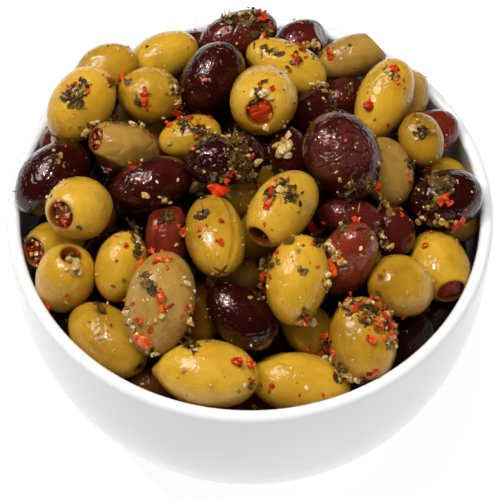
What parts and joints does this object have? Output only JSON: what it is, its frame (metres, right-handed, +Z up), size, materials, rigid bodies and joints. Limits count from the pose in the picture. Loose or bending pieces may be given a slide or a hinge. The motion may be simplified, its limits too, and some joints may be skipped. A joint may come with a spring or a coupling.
{
  "type": "bowl of olives",
  "caption": "Round white ceramic bowl on a low foot, heaped above its rim with mixed green and dark marinated olives.",
  "frame": {"origin": "middle of the underside of the bowl's foot, on the surface it stands on", "axes": "+Z up along the bowl's turning axis; -Y is the side towards the picture's camera"},
  "size_m": [0.1504, 0.1504, 0.1214],
  "materials": {
    "white_glaze": "smooth gloss white glaze",
    "olive_skin": "oiled olive skin, yellow-green to dark purple"
  },
  "bodies": {
    "root": {"bowl": "white_glaze", "olive_heap": "olive_skin"}
  },
  "joints": []
}
